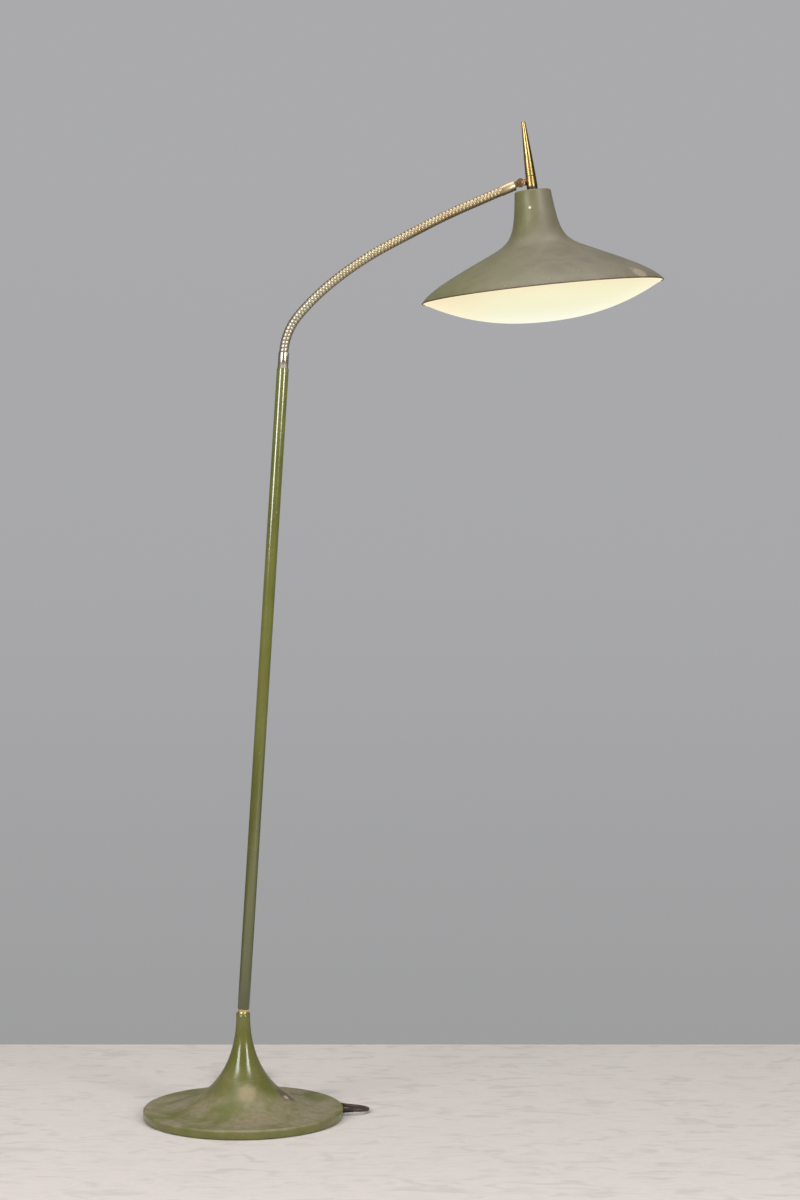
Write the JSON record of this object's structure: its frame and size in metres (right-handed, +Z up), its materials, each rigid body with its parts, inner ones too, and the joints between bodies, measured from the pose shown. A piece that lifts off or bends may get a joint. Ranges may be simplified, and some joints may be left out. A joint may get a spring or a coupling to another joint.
{
  "type": "adjustable arm floor lamp",
  "caption": "Floor lamp with a weighted trumpet base, leaning post, gooseneck arm and a tilting spun shade with diffuser bowl and cone knob.",
  "frame": {"origin": "centre of the round base's underside, on the floor", "axes": "+Z up, +X from the base towards the shade, the arm lies in the XZ plane"},
  "size_m": [0.6899, 0.5155, 1.3215],
  "materials": {
    "olive_paint": "worn olive enamel, satin",
    "shade_paint": "dusty taupe-olive enamel, satin, white inside",
    "cast_iron": "rough cast",
    "steel": "zinc plated",
    "brass": "polished, aged",
    "nickel": "polished nickel plate, worn",
    "hose_nickel": "wound wire, nickel plate worn to brass",
    "felt": "pressed wool felt",
    "rubber": "matt",
    "cord_jacket": "smooth brown jacket",
    "plug_brown": "moulded",
    "black_plastic": "moulded",
    "ceramic": "glazed porcelain",
    "bulb_glass": "frosted",
    "diffuser": "opal acrylic, satin"
  },
  "bodies": {
    "stand": {"base_shell": "olive_paint", "base_weight": "cast_iron", "bottom_plate": "steel", "plate_screws": "steel", "felt_pad": "felt", "tie_rod": "steel", "tie_washer": "steel", "tie_nut": "steel", "neck_bush": "steel", "brass_ring": "brass", "post_foot": "brass", "post_tube": "olive_paint", "post_cap": "brass", "lower_ferrule": "nickel", "base_lead": "cord_jacket", "cord_relief": "rubber", "supply_cord": "cord_jacket", "cord_hank": "cord_jacket", "cord_tail": "cord_jacket", "hank_tie": "rubber", "plug_body": "plug_brown", "plug_pins": "brass", "gooseneck_1": "hose_nickel"},
    "arm_1": {"gooseneck_2": "hose_nickel"},
    "arm_2": {"gooseneck_3": "hose_nickel"},
    "arm_3": {"gooseneck_4": "hose_nickel"},
    "arm_4": {"gooseneck_5": "hose_nickel"},
    "arm_5": {"gooseneck_6": "hose_nickel"},
    "arm_tip": {"gooseneck_7": "hose_nickel", "upper_ferrule": "nickel", "swivel_arm_half": "brass", "swivel_screw": "steel", "swivel_nut": "steel"},
    "head": {"swivel_head_half": "brass", "hub": "brass", "seat_washer": "black_plastic", "cap_gasket": "rubber", "shade": "shade_paint", "cap_shim": "steel", "cap_nut": "steel", "stem_nipple": "steel", "rotary_switch": "black_plastic", "socket_cap": "brass", "socket_insulator": "ceramic", "socket_shell": "brass", "screw_shell": "brass", "centre_contact": "brass", "bulb_base": "steel", "bulb_glass": "bulb_glass", "diffuser_clips": "steel"},
    "switch_knob": {"knob": "brass", "knob_shaft": "steel", "knob_set_screw": "steel"},
    "diffuser_bowl": {"diffuser": "diffuser"}
  },
  "joints": [
    {"name": "arm_bend_1", "type": "hinge", "parent": "stand", "child": "arm_1", "pos_m": [0.07512, 0, 1.06701], "axis": [0, 1, 0], "range_deg": [-24, 24]},
    {"name": "arm_swing_1", "type": "hinge", "parent": "arm_1", "child": "arm_2", "pos_m": [0.11197, 0, 1.10431], "axis": [-0.6475, 0, 0.7621], "range_deg": [-24, 24]},
    {"name": "arm_bend_2", "type": "hinge", "parent": "arm_2", "child": "arm_3", "pos_m": [0.15396, 0, 1.13578], "axis": [0, 1, 0], "range_deg": [-24, 24]},
    {"name": "arm_swing_2", "type": "hinge", "parent": "arm_3", "child": "arm_4", "pos_m": [0.19924, 0, 1.16229], "axis": [-0.4594, 0, 0.8882], "range_deg": [-24, 24]},
    {"name": "arm_bend_3", "type": "hinge", "parent": "arm_4", "child": "arm_5", "pos_m": [0.24588, 0, 1.18641], "axis": [0, 1, 0], "range_deg": [-24, 24]},
    {"name": "arm_swing_3", "type": "hinge", "parent": "arm_5", "child": "arm_tip", "pos_m": [0.29331, 0, 1.20889], "axis": [-0.3963, 0, 0.9181], "range_deg": [-24, 24]},
    {"name": "head_tilt", "type": "hinge", "parent": "arm_tip", "child": "head", "pos_m": [0.36777, 0, 1.24103], "axis": [0, -1, 0], "range_deg": [0, 50]},
    {"name": "switch_turn", "type": "hinge", "parent": "head", "child": "switch_knob", "pos_m": [0.38368, 0, 1.23112], "axis": [-0.1374, 0, 0.9905], "continuous": true},
    {"name": "diffuser_drop", "type": "slide", "parent": "head", "child": "diffuser_bowl", "axis": [0.1011, 0, -0.9949], "range_m": [0, 0.06]}
  ]
}
